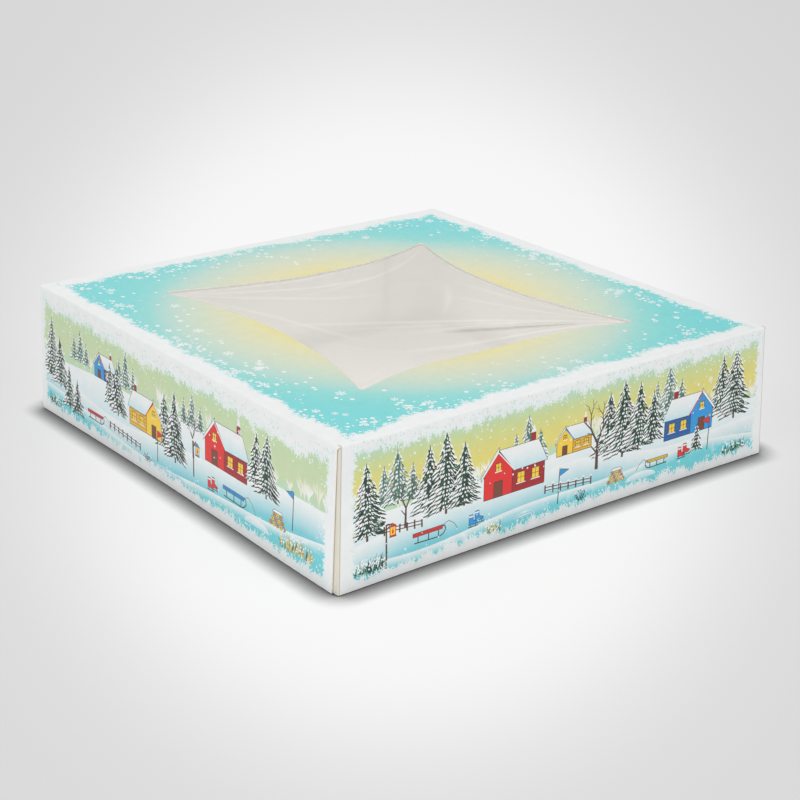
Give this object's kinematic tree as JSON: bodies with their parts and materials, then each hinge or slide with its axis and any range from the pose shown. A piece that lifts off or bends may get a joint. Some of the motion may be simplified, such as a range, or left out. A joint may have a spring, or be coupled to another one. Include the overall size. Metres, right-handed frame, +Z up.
{
  "type": "pie box",
  "caption": "Square folding carton for a pie or cake: white board tray with glued corners and a hinged, skirted lid with a film window.",
  "frame": {"origin": "centre of the closed box's footprint, on the table that the tray stands on", "axes": "+Z up, -Y towards the front skirt, +Y towards the hinged rear wall, X along the hinge"},
  "size_m": [0.2584, 0.2562, 0.0655],
  "materials": {
    "printed_top_board": "white folding boxboard, printed turquoise to pale yellow with a frost border, satin varnish",
    "printed_side_board": "white folding boxboard, printed with a pale winter landscape, satin varnish",
    "plain_board": "unprinted inner side of the same board, matt warm white with cream cut edges",
    "clear_film": "clear window film, glossy, drawn into long shallow wrinkles",
    "dried_glue": "thin dried adhesive, translucent cream"
  },
  "bodies": {
    "tray": {"bottom_panel": "plain_board", "front_wall": "plain_board", "left_wall": "plain_board", "right_wall": "plain_board", "rear_wall": "printed_side_board", "tray_tab_front_left": "plain_board", "tray_tab_front_right": "plain_board", "tray_tab_rear_left": "plain_board", "tray_tab_rear_right": "plain_board", "tray_glue_front_left": "dried_glue", "tray_glue_front_right": "dried_glue", "tray_glue_rear_left": "dried_glue", "tray_glue_rear_right": "dried_glue"},
    "lid": {"window_panel": "printed_top_board", "window_film": "clear_film", "film_glue": "dried_glue", "front_skirt": "printed_side_board", "left_skirt": "printed_side_board", "right_skirt": "printed_side_board", "lid_tab_left": "plain_board", "lid_tab_right": "plain_board", "lid_glue_left": "dried_glue", "lid_glue_right": "dried_glue"}
  },
  "joints": [
    {"name": "lid_hinge", "type": "hinge", "parent": "tray", "child": "lid", "pos_m": [0, 0.12779, 0.0652], "axis": [-1, 0, 0], "range_deg": [0, 194]}
  ]
}
